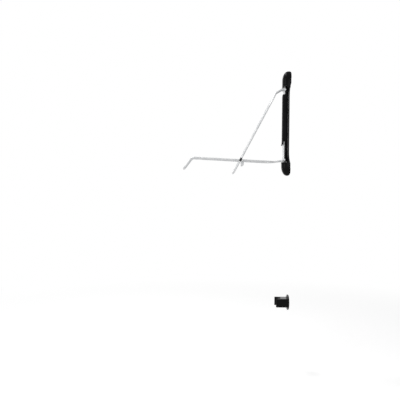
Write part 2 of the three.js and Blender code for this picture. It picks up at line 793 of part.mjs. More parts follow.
// Round-ended peg under each rail, which keeps the upper arm's wire in place as the arms fold.
function guidePeg(side) {
  const pegReach = -sleevePlace().centre.y - pegInset;
  const top = railHeightAt(pegReach);
  const end = top - pegLength + pegDiameter / 2;
  const x = side * lowerArmHalfWidth;
  const round = new THREE.SphereGeometry(pegDiameter / 2, smallSides, 6);
  round.rotateX(Math.PI / 2);
  round.translate(x, -pegReach, end);
  const stem = bar(pegDiameter, at(x, -pegReach, top), at(x, -pegReach, end), smallSides);
  return stem.add(solid(round));
}

// Place on the straight run of the upper arm's wire that is level with the lower arm's rail.
function sleevePlace() {
  const from = at(upperArmHalfWidth, -upperSplayReach, -upperSplayDrop);
  const to = at(upperArmHalfWidth, -upperBarReach, -upperBarDrop);
  const direction = to.clone().sub(from).normalize();
  const railLevel = lowerHingeHeight + railHeightAt(upperBarReach) - upperHingeHeight;
  const along = (railLevel - from.z) / direction.z;
  return { centre: from.addScaledVector(direction, along), direction };
}

function guideSleeve(side) {
  const { centre, direction } = sleevePlace();
  const middle = at(side * centre.x, centre.y, centre.z);
  const ends = [-1, 1].map((end) => middle.clone().addScaledVector(direction, end * sleeveLength / 2));
  const bore = [-1, 1].map((end) => middle.clone().addScaledVector(direction, end * sleeveLength));
  const inner = wireDiameter + 2 * seatGap;
  return bar(inner + 2 * sleeveWall, ends[0], ends[1], smallSides)
    .subtract(bar(inner, bore[0], bore[1], smallSides));
}

// ---------------------------------------------------------------- rear tyre rest

function restOutline(inset) {
  const half = restBodyWidth / 2 - inset;
  const tip = -restReach + inset;
  const mouth = restGrooveMouth / 2 + inset;
  const floor = restGrooveFloor / 2 + inset;
  const grooveFloor = -(restReach - restGrooveDepth) + inset;
  const outline = new THREE.Shape();
  outline.moveTo(half, -restFlangeThickness / 2);
  outline.lineTo(-half, -restFlangeThickness / 2);
  outline.lineTo(-half, tip + restTipRound);
  outline.quadraticCurveTo(-half, tip, -(half + mouth) / 2, tip);
  outline.quadraticCurveTo(-mouth, tip, -mouth, tip + restTipRound);
  outline.lineTo(-floor - restCorner / 2, grooveFloor - restCorner);
  outline.quadraticCurveTo(-floor, grooveFloor, -floor + restCorner, grooveFloor);
  outline.lineTo(floor - restCorner, grooveFloor);
  outline.quadraticCurveTo(floor, grooveFloor, floor + restCorner / 2, grooveFloor - restCorner);
  outline.lineTo(mouth, tip + restTipRound);
  outline.quadraticCurveTo(mouth, tip, (half + mouth) / 2, tip);
  outline.quadraticCurveTo(half, tip, half, tip + restTipRound);
  return outline;
}

// Round wall flange and a grooved saddle, cored from the back in two pockets.
function tyreRest() {
  const radius = restFlangeDiameter / 2;
  const profile = [new THREE.Vector2(0, 0), new THREE.Vector2(radius - 1, 0)];
  const steps = 4;
  for (let i = 0; i <= steps; i += 1) {
    const angle = Math.PI / 2 * i / steps;
    profile.push(new THREE.Vector2(
      radius - restFlangeRound + restFlangeRound * Math.cos(angle),
      restFlangeThickness - restFlangeRound + restFlangeRound * Math.sin(angle),
    ));
  }
  profile.push(new THREE.Vector2(0, restFlangeThickness));
  const flangeGeometry = new THREE.LatheGeometry(profile, 36);
  flangeGeometry.rotateX(Math.PI);
  let rest = solid(flangeGeometry);
  const bodyGeometry = new THREE.ExtrudeGeometry(restOutline(restEdgeRound), {
    depth: restBodyHeight - 2 * restEdgeRound,
    bevelEnabled: true,
    bevelThickness: restEdgeRound,
    bevelSize: restEdgeRound,
    bevelSegments: 2,
    curveSegments: 5,
  });
  bodyGeometry.translate(0, 0, -restBodyHeight / 2 + restEdgeRound);
  rest = rest.add(solid(bodyGeometry));
  const pocketHalf = restBodyHeight / 2 - restWall;
  const core = runAlongZ(restOutline(restWall), -pocketHalf, pocketHalf);
  const coreHalf = restBodyWidth / 2 - restWall;
  const opening = block([-coreHalf, coreHalf], [-restFlangeThickness, 1], [-pocketHalf, pocketHalf]);
  const web = block([-restWeb / 2, restWeb / 2], [-restReach, 2], [-restBodyHeight, restBodyHeight]);
  rest = rest.subtract(core.add(opening).subtract(web));
  for (const end of [-1, 1]) {
    const height = end * restScrewSpacing / 2;
    const hole = bar(restScrewDiameter + 2 * seatGap, at(0, 1, height), at(0, -restFlangeThickness - 1, height),
      smallSides);
    const recess = bar(restScrewHead + 2 * seatGap, at(0, -restFlangeThickness + restScrewHeadHeight, height),
      at(0, -restFlangeThickness - 1, height), smallSides);
    rest = rest.subtract(hole).subtract(recess);
  }
  return rest;
}

function restScrew() {
  const seat = -restFlangeThickness + restScrewHeadHeight - seatGap;
  const head = bar(restScrewHead, at(0, seat, 0), at(0, seat - restScrewHeadHeight, 0), smallSides);
  const shank = bar(restScrewDiameter, at(0, 0, 0), at(0, seat - 1, 0), smallSides);
  const reach = seat - restScrewHeadHeight;
  const slotA = block([-2.4, 2.4], [reach - 1, reach + 1.4], [-0.5, 0.5]);
  const slotB = block([-0.5, 0.5], [reach - 1, reach + 1.4], [-2.4, 2.4]);
  return head.add(shank).subtract(slotA).subtract(slotB);
}

// ---------------------------------------------------------------- assembly

const rack = new THREE.Group();
rack.name = 'bicycle_wall_rack';
const mount = new THREE.Group();
mount.position.z = -footMiddle;
rack.add(mount);

addPiece(mount, 'wall_plate', blackSteel, wallPlate());

// The lower end is the upper end turned half a turn about the line out from the wall.
const ends = [
  { name: 'upper', turn: 0, shelf: upperShelfHeight, edge: upperCapEdge, arch: capArchHeight },
  { name: 'lower', turn: Math.PI, shelf: lowerShelfHeight, edge: lowerCapEdge, arch: 0 },
];
let screwNumber = 1;
for (const end of ends) {
  const group = new THREE.Group();
  group.rotation.y = end.turn;
  mount.add(group);
  addPiece(group, `${end.name}_bracket`, blackSteel, bearingBracket(end.shelf, end.edge));
  addPiece(group, `${end.name}_cap`, glossBlack, endCap(end.edge, end.arch));
  const bush = addPiece(group, `${end.name}_bush`, acetal, pivotBush(end.shelf));
  bush.position.y = -pivotOffset;
  for (const height of footScrewHeights) {
    const screw = addPiece(group, `wall_screw_${screwNumber}`, zincSteel, wallScrew());
    screw.position.z = height;
    screwNumber += 1;
  }
}

const post = new THREE.Group();
post.position.y = -pivotOffset;
mount.add(post);

addPiece(post, 'pivot_tube', powderCoat, pivotTube());
const washerBottom = lowerBushTop + seatGap;
const collarBottom = washerBottom + washerThickness + seatGap;
addPiece(post, 'thrust_washer', zincSteel, ringOnTube(collarDiameter, washerBottom, washerBottom + washerThickness));
addPiece(post, 'thrust_collar', blackSteel, ringOnTube(collarDiameter, collarBottom, collarBottom + collarHeight));
const clipBottom = upperBushTop + seatGap;
addPiece(post, 'retaining_clip', zincSteel, ringOnTube(clipDiameter, clipBottom, clipBottom + clipThickness));
addPiece(post, 'front_cover', satinBlack, frontCover());
addPiece(post, 'back_cover', satinBlack, backCover());
for (const [i, name] of ['lower', 'upper'].entries()) {
  const screw = addPiece(post, `cover_screw_${name}`, zincSteel, coverScrew());
  screw.position.z = coverScrewHeights[i];
}

const armWires = {
  upper: armWeldment(upperArmLoop()),
  lower: armWeldment(lowerArmLoop(), [guidePeg(-1), guidePeg(1)]),
};
for (const [name, height] of Object.entries(hingeHeights)) {
  const hinge = new THREE.Group();
  hinge.position.z = height;
  post.add(hinge);
  addPiece(hinge, `${name}_hinge_bolt`, zincSteel, hingeBolt());
  addPiece(hinge, `${name}_hinge_nut`, zincSteel, hingeNut());
  addPiece(hinge, `${name}_arm_wire`, powderCoat, armWires[name]);
  addPiece(hinge, `${name}_arm_bush_left`, acetal, hingeBush(-1));
  addPiece(hinge, `${name}_arm_bush_right`, acetal, hingeBush(1));
  if (name === 'upper') {
    addPiece(hinge, 'upper_arm_sleeve_left', rubber, guideSleeve(-1));
    addPiece(hinge, 'upper_arm_sleeve_right', rubber, guideSleeve(1));
  }
}

const lowRest = new THREE.Group();
lowRest.position.z = restHeight;
mount.add(lowRest);
addPiece(lowRest, 'tyre_rest', glossBlack, tyreRest());
for (const [name, side] of [['upper', 1], ['lower', -1]]) {
  const screw = addPiece(lowRest, `tyre_rest_screw_${name}`, zincSteel, restScrew());
  screw.position.z = side * restScrewSpacing / 2;
}

export default rack;
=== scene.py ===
# Bicycle wall rack. A wall mount with a black cap at each end carries an upright post that
# swings left and right. Two arms of bent wire hinge on the post and hold the front wheel of a
# bicycle hung upright, and a separate rest on the wall below steadies the rear tyre.
#
# Metres, +Z up. The wall is the plane Y = 0, the room lies towards -Y, and X = 0 is the middle.
import math

import bmesh
import bpy
from mathutils import Matrix, Vector


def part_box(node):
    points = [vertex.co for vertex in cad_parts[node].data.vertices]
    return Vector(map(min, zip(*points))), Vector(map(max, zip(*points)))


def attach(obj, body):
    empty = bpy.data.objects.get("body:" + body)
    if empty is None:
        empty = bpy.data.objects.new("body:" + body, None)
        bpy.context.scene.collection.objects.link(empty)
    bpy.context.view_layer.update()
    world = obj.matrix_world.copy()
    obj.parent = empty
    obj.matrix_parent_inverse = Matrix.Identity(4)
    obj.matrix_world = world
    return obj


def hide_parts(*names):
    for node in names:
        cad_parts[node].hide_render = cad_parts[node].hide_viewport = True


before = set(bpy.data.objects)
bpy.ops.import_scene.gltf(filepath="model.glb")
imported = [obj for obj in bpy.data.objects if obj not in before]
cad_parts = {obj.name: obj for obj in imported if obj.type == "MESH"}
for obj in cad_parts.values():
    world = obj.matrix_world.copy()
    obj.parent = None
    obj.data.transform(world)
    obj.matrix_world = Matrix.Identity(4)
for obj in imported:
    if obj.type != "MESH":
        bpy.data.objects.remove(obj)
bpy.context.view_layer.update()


# ------------------------------------------------------------------ wall plate
# A long pressed steel plate with a flange down each side. Its two feet lie flat on the wall and
# the length between them stands off it. It is coated black, with a faint orange-peel skin.

plate_edge = 0.0004
smallest_step = 0.00022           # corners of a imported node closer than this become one
flat_angle = math.radians(1)
sharp_angle = math.radians(28)
crease_angle = math.radians(35)


def softened_copy(node, edge, crowded=False):
    """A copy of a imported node, with its flat faces joined up and its sharp edges rounded off.
    Where the node is crowded with short edges, the rounding gives way to them."""
    form = bmesh.new()
    form.from_mesh(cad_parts[node].data)
    bmesh.ops.remove_doubles(form, verts=form.verts, dist=smallest_step)
    bmesh.ops.dissolve_limit(form, angle_limit=flat_angle, verts=form.verts, edges=form.edges)
    sharp = [line for line in form.edges
             if len(line.link_faces) == 2 and line.calc_face_angle() > sharp_angle]
    bmesh.ops.bevel(form, geom=sharp, offset=edge, segments=2, profile=0.5, affect="EDGES",
                    material=-1, clamp_overlap=crowded)
    return form


def made_up(name, form, paint, body, node):
    """Turns a form into a finished piece, which rides on its body and stands for its node."""
    mesh = bpy.data.meshes.new(name)
    form.to_mesh(mesh)
    form.free()
    mesh.shade_smooth()
    mesh.set_sharp_from_angle(angle=crease_angle)
    mesh.materials.append(paint)
    piece = bpy.data.objects.new(name, mesh)
    bpy.context.scene.collection.objects.link(piece)
    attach(piece, body)
    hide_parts(node)
    return piece


def softened_piece(name, node, edge, paint, body, crowded=False):
    """A softened copy that stands for its node, with its flat faces shaded flat."""
    piece = made_up(name, softened_copy(node, edge, crowded), paint, body, node)
    shading = piece.modifiers.new("flat_faces", "WEIGHTED_NORMAL")
    shading.keep_sharp = True


def surface(name, dark, light, smooth, rough, patch, grain, relief, metallic=0.0, specular=0.5):
    """A finish whose colour drifts from dark to light in patches, and whose roughness and low
    relief follow a finer grain. Patch and grain are sizes in metres, relief is a depth."""
    paint = bpy.data.materials.new(name)
    paint.use_nodes = True
    tree = paint.node_tree
    shader = tree.nodes["Principled BSDF"]
    shader.inputs["Metallic"].default_value = metallic
    shader.inputs["Specular IOR Level"].default_value = specular
    texture_place = tree.nodes.new("ShaderNodeTexCoord")
    drift = tree.nodes.new("ShaderNodeTexNoise")
    drift.inputs["Scale"].default_value = 1 / patch
    drift.inputs["Detail"].default_value = 6.0
    tone = tree.nodes.new("ShaderNodeValToRGB")
    tone.color_ramp.elements[0].position = 0.36
    tone.color_ramp.elements[0].color = (*dark, 1)
    tone.color_ramp.elements[1].position = 0.64
    tone.color_ramp.elements[1].color = (*light, 1)
    skin = tree.nodes.new("ShaderNodeTexNoise")
    skin.inputs["Scale"].default_value = 1 / grain
    skin.inputs["Detail"].default_value = 3.0
    sheen = tree.nodes.new("ShaderNodeMapRange")
    sheen.inputs["From Min"].default_value = 0.3
    sheen.inputs["From Max"].default_value = 0.7
    sheen.inputs["To Min"].default_value = smooth
    sheen.inputs["To Max"].default_value = rough
    bump = tree.nodes.new("ShaderNodeBump")
    bump.inputs["Distance"].default_value = relief
    tree.links.new(texture_place.outputs["Object"], drift.inputs["Vector"])
    tree.links.new(texture_place.outputs["Object"], skin.inputs["Vector"])
    tree.links.new(drift.outputs["Fac"], tone.inputs["Fac"])
    tree.links.new(tone.outputs["Color"], shader.inputs["Base Color"])
    tree.links.new(skin.outputs["Fac"], sheen.inputs["Value"])
    tree.links.new(sheen.outputs["Result"], shader.inputs["Roughness"])
    tree.links.new(skin.outputs["Fac"], bump.inputs["Height"])
    tree.links.new(bump.outputs["Normal"], shader.inputs["Normal"])
    return paint


black_steel = surface("black_steel", (0.006, 0.006, 0.0065), (0.010, 0.010, 0.011), 0.38, 0.56,
                      patch=0.02, grain=0.0012, relief=0.0001, specular=0.09)
softened_piece("plate", "wall_plate", plate_edge, black_steel, "wall_mount")


# ------------------------------------------------------------------ wall screws
# Four zinc-plated hexagon wall screws with washers clamp the brackets and the plate to the wall,
# two at each foot. They sit under the caps.

screw_edge = 0.0004

zinc = surface("zinc_plate", (0.50, 0.51, 0.53), (0.66, 0.67, 0.68), 0.24, 0.42,
               patch=0.004, grain=0.0007, relief=0.00003, metallic=1.0)
for number in range(1, 5):
    node = f"wall_screw_{number}"
    softened_piece(f"{node}_head", node, screw_edge, zinc, "wall_mount")


# ------------------------------------------------------------------ bearing brackets and bushes
# A pressed black steel bracket over each foot holds one end of the post. Its shelf carries a
# plain plastic bush, and its two cheeks clasp the sides of the plate.

bracket_edge = 0.0005
bush_edge = 0.0003

black_acetal = surface("black_acetal", (0.016, 0.016, 0.018), (0.024, 0.024, 0.026), 0.35, 0.5,
                       patch=0.01, grain=0.0006, relief=0.00003, specular=0.4)
for end in ("upper", "lower"):
    softened_piece(f"{end}_bearing_bracket", f"{end}_bracket", bracket_edge, black_steel,
                   "wall_mount")
    softened_piece(f"{end}_pivot_bush", f"{end}_bush", bush_edge, black_acetal,
                   "wall_mount")


# ------------------------------------------------------------------ end caps
# Two glossy moulded caps cover the brackets. Each is a thin shell: full and round towards the
# room, domed at its far end, open towards the arms with a slightly flared lip, and waisted at
# the wall, where the bracket's cheeks show. The upper cap is arched over the hinge.

pivot_reach = 0.036               # pivot axis to wall
cap_half_width = 0.0301
cap_depth = 0.050
cap_gap = 0.0003                  # between its rear edge and the wall
cap_wall = 0.0023
cap_shoulder = 0.54               # share of the depth where the flat sides start to turn in
cap_fullness = 0.92               # below 1, its front is fuller than an ellipse
shoulder_gap = 0.0005             # least depth of a flat side
dome_height = 0.056
dome_back_round = 0.014           # how far the dome's back curves away from the wall
nose_height = 0.043               # from the tip down to where the sides start to lean in
nose_roundness = 0.6
crown_half_width = 0.006
crown_depth = 0.017
lip_flare = 0.0016
lip_height = 0.014
lip_side_share = 0.4              # the sides' share of the lip's flare
waist_start = 0.0437              # from the tip down to where the sides leave the wall
waist_end = 0.0717                # to where their curve away from it ends
waist_pull = 0.0234               # stand-off that the curve makes for
waist_curve_depth = 0.0208        # stand-off at the end of the curve
waist_depth = 0.0221              # stand-off near the lip
waist_run = 0.004
arch_half_width = 0.0115
arch_fade = 0.03                  # from the lip up to where the arch has died away
plate_end = 0.0155                # from the tip down to the end of the wall plate
cap_columns = 36
cap_side_columns = 2              # on each flat side
cap_rows = 34
cap_dome_rows = 14
cap_back_columns = 12
cap_merge = 0.00005
merge_gap = 0.00001
rim_width = 0.0005
rim_angle = math.radians(50)


def shaped_sheet(form, columns, rows, place):
    """Adds a flat grid to a form, then moves each of its corners to its place."""
    grid = bmesh.ops.create_grid(form, x_segments=columns, y_segments=rows, size=0.5)
    for vert in grid["verts"]:
        column = round((vert.co.x + 0.5) * columns)
        row = round((vert.co.y + 0.5) * rows)
        vert.co = place(column, row)


def faced_out(form):
    """Turns the faces of an open shell so that the one furthest into the room looks outwards."""
    bmesh.ops.recalc_face_normals(form, faces=form.faces)
    foremost = min(form.faces, key=lambda face: face.calc_center_median().y)
    if foremost.normal.y > 0:
        bmesh.ops.reverse_faces(form, faces=form.faces)
    return form


def cap_back(depth_down, round_height):
    """How far the cap's rear edge stands off the wall at a distance down from its tip."""
    if depth_down < round_height:
        return dome_back_round * (1 - math.sqrt(1 - (1 - depth_down / round_height) ** 2))
    if depth_down < waist_start:
        return 0.0
    t = math.sqrt(min(1, (depth_down - waist_start) / (waist_end - waist_start)))
    if t < 1:
        return 2 * t * (1 - t) * waist_pull + t * t * waist_curve_depth
    run = min(1, (depth_down - waist_end) / waist_run)
    return waist_curve_depth + (waist_depth - waist_curve_depth) * run


def cap_form(tip, lip, arch_height, round_height):
    """Shell of one cap. Rows run from the lip to the tip, columns from wall side to wall side."""
    length = abs(tip - lip)
    upwards = 1 if tip > lip else -1
    wall_rows = cap_rows - cap_dome_rows

    def down(row):
        if row > wall_rows:
            share = (row - wall_rows) / cap_dome_rows
            return dome_height * (1 - math.sin(math.pi / 2 * share))
        return length - (length - dome_height) * row / wall_rows

    def corner(column, row):
        depth_down = down(row)
        share = 1.0
        if depth_down < dome_height:
            share = math.sqrt(max(0.0, 1 - ((dome_height - depth_down) / dome_height) ** 2))
        flare = lip_flare * max(0.0, 1 - (length - depth_down) / lip_height) ** 2
        fullness = (1 - max(0.0, 1 - depth_down / nose_height) ** 2) ** nose_roundness
        half = crown_half_width + (cap_half_width - crown_half_width) * fullness
        half += lip_side_share * flare
        depth = crown_depth + (cap_depth - crown_depth) * share + flare
        rear = cap_back(depth_down, round_height)
        shoulder = max(cap_shoulder * depth, rear + shoulder_gap)
        if column < cap_side_columns or column > cap_columns - cap_side_columns:
            across = -1 if column < cap_side_columns else 1
            out = rear if column in (0, cap_columns) else (rear + shoulder) / 2
        else:
            angle = math.pi * (column - cap_side_columns) / (cap_columns - 2 * cap_side_columns)
            across = -math.copysign(abs(math.cos(angle)) ** cap_fullness, math.cos(angle))
            out = shoulder + (depth - shoulder) * math.sin(angle) ** cap_fullness
        lift = 0.0
        if arch_height and abs(out - pivot_reach) < arch_half_width:
            lift = arch_height * math.sqrt(1 - ((out - pivot_reach) / arch_half_width) ** 2)
            lift *= max(0.0, 1 - (length - depth_down) / arch_fade)
        return Vector((across * half, -cap_gap - out, tip - upwards * (depth_down - lift)))

    form = bmesh.new()
    shaped_sheet(form, cap_columns, cap_rows, corner)

    # The back of the dome closes the shell where it curves away from the wall.
    closed = [row for row in range(cap_rows + 1) if down(row) <= min(round_height, plate_end)]

    def back_corner(column, step):
        left = corner(0, closed[step])
        right = corner(cap_columns, closed[step])
        return left.lerp(right, column / cap_back_columns)

    shaped_sheet(form, cap_back_columns, len(closed) - 1, back_corner)
    bmesh.ops.remove_doubles(form, verts=form.verts, dist=cap_merge)

    # A small flat crown closes it at the tip.
    crown = [line for line in form.edges if line.is_boundary
             and all(abs(vert.co.z - tip) < merge_gap for vert in line.verts)]
    bmesh.ops.edgeloop_fill(form, edges=crown)
    return faced_out(form)


def walled(piece, thickness):
    """Gives a skin its wall, inwards, and rounds the edges of its rim."""
    wall = piece.modifiers.new("wall", "SOLIDIFY")
    wall.thickness = thickness
    wall.offset = -1
    rim = piece.modifiers.new("rim", "BEVEL")
    rim.width = rim_width
    rim.segments = 2
    rim.limit_method = "ANGLE"
    rim.angle_limit = rim_angle


gloss_black = surface("gloss_black", (0.0015, 0.0015, 0.0018), (0.003, 0.003, 0.0035), 0.10, 0.18,
                      patch=0.03, grain=0.006, relief=0.00002, specular=0.08)
cap_shapes = {
    "upper": {"tip": 0.038, "lip": -0.062, "arch_height": 0.011, "round_height": 0.014},
    "lower": {"tip": -0.578, "lip": -0.499, "arch_height": 0.0, "round_height": 0.020},
}
for end, shape in cap_shapes.items():
    cap = made_up(f"{end}_end_cap", cap_form(**shape), gloss_black, "wall_mount",
                  f"{end}_cap")
    walled(cap, cap_wall)


# ------------------------------------------------------------------ pivot tube and thrust parts
# The post turns on an upright steel tube, coated silver-white like the arms. A collar and a
# washer carry its weight on the lower bush, and a clip above the upper bush holds it down.

pivot_y = -pivot_reach
tube_radius = 0.0075
tube_bore = 0.005
tube_bottom = -0.524
tube_top = -0.0192
tube_chamfer = 0.0006
ring_bore = 0.0078
ring_chamfer = 0.0003
round_sides = 48


def turned(form, profile, place, sides):
    """Turns a profile of (radius, height) points a full turn about the Z axis, then moves the
    result to its place. A profile that starts on the axis ends on it; any other is closed."""
    before = len(form.verts)
    corners = [form.verts.new((radius, 0, height)) for radius, height in profile]
    ahead = corners[1:] if profile[0][0] == 0 else corners[1:] + corners[:1]
    lines = [form.edges.new(pair) for pair in zip(corners, ahead)]
    bmesh.ops.spin(form, geom=corners + lines, cent=(0, 0, 0), axis=(0, 0, 1),
                   angle=math.radians(360), steps=sides, use_merge=True, use_duplicate=False)
    bmesh.ops.transform(form, matrix=place, verts=form.verts[before:])


def pipe_profile(inner, outer, low, high, chamfer):
    """Closed profile of a pipe with chamfered outer edges."""
    return [(inner, low), (outer - chamfer, low), (outer, low + chamfer),
            (outer, high - chamfer), (outer - chamfer, high), (inner, high)]


def closed_up(form):
    """Joins the corners that meet, and turns all faces outwards."""
    bmesh.ops.remove_doubles(form, verts=form.verts, dist=merge_gap)
    bmesh.ops.recalc_face_normals(form, faces=form.faces)
    return form


silver_coat = surface("silver_coat", (0.52, 0.53, 0.54), (0.62, 0.625, 0.63), 0.30, 0.35,
                      patch=0.03, grain=0.003, relief=0.00002, metallic=0.65, specular=0.5)
on_pivot = Matrix.Translation((0, pivot_y, 0))
tube = bmesh.new()
turned(tube, pipe_profile(tube_bore, tube_radius, tube_bottom, tube_top, tube_chamfer),
       on_pivot, round_sides)
made_up("post_tube", closed_up(tube), silver_coat, "swing_post", "pivot_tube")

thrust_parts = [
    ("post_collar", "thrust_collar", 0.0105, black_steel, "black_steel"),
    ("post_washer", "thrust_washer", 0.0105, zinc, "zinc_steel"),
    ("post_clip", "retaining_clip", 0.0095, zinc, "zinc_steel"),
]
for name, node, outer, paint, slot in thrust_parts:
    low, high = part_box(node)
    ring = bmesh.new()
    turned(ring, pipe_profile(ring_bore, outer, low.z, high.z, ring_chamfer),
           on_pivot, round_sides)
    made_up(name, closed_up(ring), paint, "swing_post", node)


# ------------------------------------------------------------------ covers of the post
# Two satin moulded shells close round the tube and meet in a seam behind it. The front one has
# round front corners, a flared lip and an arch in each side over the lower arm. The back one is
# round and longer. Two small socket screws from behind hold both to the tube.

cover_half_width = 0.018
cover_front = 0.0124
cover_seam = 0.0072
cover_corner = 0.011
cover_wall = 0.002
cover_top = -0.099
cover_lip = -0.401
cover_arch_height = 0.027
cover_arch_reach = 0.010
cover_flare = 0.0036
cover_flare_blend = 3             # how fast the flare grows round the corners to the front
cover_tuck_height = 0.0025        # the top edge turns in over this height
cover_tuck_depth = 0.0022
cover_merge = 0.00002
back_cover_edge = 0.0004
cover_screw_edge = 0.0003
row_gather = 1.5                  # above 1, rows crowd towards the arch
cover_rows = 40
side_columns = 12
corner_columns = 8
front_columns = 4
cover_columns = 2 * side_columns + 2 * corner_columns + front_columns


def cover_corner_place(column, row):
    """One corner of the front cover's skin. Columns run from seam to seam round the front."""
    side = -1 if column <= cover_columns / 2 else 1
    step = min(column, cover_columns - column)
    if step <= side_columns:
        first = math.asin(-cover_seam / cover_arch_reach)
        last = math.asin((cover_front - cover_corner) / cover_arch_reach)
        x = cover_half_width
        y = -cover_arch_reach * math.sin(first + (last - first) * step / side_columns)
    elif step <= side_columns + corner_columns:
        angle = math.pi / 2 * (step - side_columns) / corner_columns
        x = cover_half_width - cover_corner + cover_corner * math.cos(angle)
        y = -(cover_front - cover_corner) - cover_corner * math.sin(angle)
    else:
        flat = cover_half_width - cover_corner
        x = flat * (1 - (step - side_columns - corner_columns) / (front_columns / 2))
        y = -cover_front
    arch = 0.0
    if abs(y) < cover_arch_reach:
        arch = cover_arch_height * math.sqrt(1 - (y / cover_arch_reach) ** 2)
    share = (row / cover_rows) ** row_gather
    z = cover_lip + arch + (cover_top - cover_lip - arch) * share
    forward = max(0.0, -y - (cover_front - cover_corner)) / cover_corner
    flare = cover_flare * max(0.0, 1 - (z - cover_lip) / cover_arch_height) ** 2
    tuck = max(0.0, 1 - (cover_top - z) / cover_tuck_height)
    y -= flare * min(1.0, cover_flare_blend * forward)
    y += cover_tuck_depth * tuck ** 2 * forward
    return Vector((side * x, pivot_y + y, z))


satin_black = surface("satin_black", (0.003, 0.003, 0.0035), (0.006, 0.006, 0.007), 0.36, 0.5,
                      patch=0.05, grain=0.0009, relief=0.00008, specular=0.06)
front = bmesh.new()
shaped_sheet(front, cover_columns, cover_rows, cover_corner_place)
bmesh.ops.remove_doubles(front, verts=front.verts, dist=cover_merge)
front_cover = made_up("post_front_cover", faced_out(front), satin_black, "swing_post",
                      "front_cover")
walled(front_cover, cover_wall)

softened_piece("post_back_cover", "back_cover", back_cover_edge, satin_black, "swing_post")
for end in ("upper", "lower"):
    softened_piece(f"post_cover_screw_{end}", f"cover_screw_{end}", cover_screw_edge, zinc,
                   "swing_post")


# ------------------------------------------------------------------ arm hinges
# Each arm turns on a zinc-plated bolt through the tube, with a nut on its left end and a plastic
# bush in each of the arm's two eyes.

hinge_heights = {"upper": -0.072, "lower": -0.484}
bolt_edge = 0.0005

for end in hinge_heights:
    softened_piece(f"{end}_bolt", f"{end}_hinge_bolt", bolt_edge, zinc,
                   "swing_post")
    softened_piece(f"{end}_nut", f"{end}_hinge_nut", bolt_edge, zinc,
                   "swing_post")
    for side in ("left", "right"):
        softened_piece(f"{end}_eye_bush_{side}", f"{end}_arm_bush_{side}", bush_edge,
                       black_acetal, f"{end}_arm")


# ------------------------------------------------------------------ upper arm
# One loop of ten millimetre wire, coated silver-white, with a steel eye welded to each end. It
# leaves the hinge as a narrow neck, splays out to the width of a tyre and runs down to the
# cross bar that the wheel rests against.

wire_radius = 0.005
wire_sides = 24
bend_step = 6                     # degrees of a bend from one ring of corners to the next
eye_radius = 0.0068
eye_bore = 0.005
eye_inner = 0.0081
eye_outer = 0.0177
eye_chamfer = 0.0005
eye_sides = 40
neck_half_width = 0.013
wire_start = 0.0053               # the wire's end, in front of the bore of its eye
weld_size = 0.0020
weld_step = 0.0019                # how far in front of the wire's end the weld lies
weld_sides = 10
ripple_count = 10
ripple_depth = 0.16
upper_half_width = 0.054
upper_splay_out = 0.088           # end of the splay, out from the hinge and down from it
upper_splay_drop = 0.089
upper_bar_out = 0.298             # cross bar
upper_bar_drop = 0.494


def drawn_on(form, rim, step):
    """Draws the open end of a wire on in a straight line."""
    longer = bmesh.ops.extrude_edge_only(form, edges=rim)["geom"]
    ends = [part for part in longer if isinstance(part, bmesh.types.BMVert)]
    bmesh.ops.translate(form, verts=ends, vec=step)
    return [part for part in longer if isinstance(part, bmesh.types.BMEdge)
            and part.verts[0] in ends and part.verts[1] in ends]


def bent_wire(form, corners, bends):
    """Runs a round wire along straight lines and round bends. Corners are points, and bends
    are the radii of the corners between the first and the last."""
    headings = [(b - a).normalized() for a, b in zip(corners, corners[1:])]
    ring = bmesh.ops.create_circle(form, cap_ends=True, segments=wire_sides,
                                   radius=wire_radius)["verts"]
    facing = headings[0].to_track_quat("Z", "X").to_matrix().to_4x4()
    bmesh.ops.transform(form, matrix=Matrix.Translation(corners[0]) @ facing, verts=ring)
    rim = [line for line in form.edges if line.verts[0] in ring and line.verts[1] in ring]
    here = corners[0]
    for corner, bend, before, after in zip(corners[1:-1], bends, headings, headings[1:]):
        angle = before.angle(after)
        inset = bend * math.tan(angle / 2)
        rim = drawn_on(form, rim, corner - before * inset - here)
        inward = (after - before * after.dot(before)).normalized()
        steps = max(3, round(math.degrees(angle) / bend_step))
        swept = bmesh.ops.spin(form, geom=rim, cent=corner - before * inset + inward * bend,
                               axis=before.cross(after).normalized(), angle=angle,
                               steps=steps, use_duplicate=False)
        rim = [part for part in swept["geom_last"] if isinstance(part, bmesh.types.BMEdge)]
        here = corner + after * inset
    drawn_on(form, rim, corners[-1] - here)


def weld_bead(form, spot, heading, radius, thickness):
    """A ring of weld round a bar, with shallow ripples where the weld pool froze."""
    before = len(form.verts)
    bead = bmesh.ops.create_circle(form, cap_ends=False, segments=weld_sides,
                                   radius=thickness)["verts"]
    stand = Matrix.Translation((radius, 0, 0)) @ Matrix.Rotation(math.radians(90), 4, "X")
    bmesh.ops.transform(form, matrix=stand, verts=bead)
    lines = list({line for vert in bead for line in vert.link_edges})
    bmesh.ops.spin(form, geom=bead + lines, cent=(0, 0, 0), axis=(0, 0, 1),
                   angle=math.radians(360), steps=eye_sides, use_merge=True, use_duplicate=False)
    ring = form.verts[before:]
    for vert in ring:
        turn = math.atan2(vert.co.y, vert.co.x)
        out = Vector((vert.co.x, vert.co.y, 0)).length
        vert.co.z *= 1 + ripple_depth * math.sin(ripple_count * turn) * (out - radius) / thickness
    facing = heading.to_track_quat("Z", "X").to_matrix().to_4x4()
    bmesh.ops.transform(form, matrix=Matrix.Translation(spot) @ facing, verts=ring)
    return ring


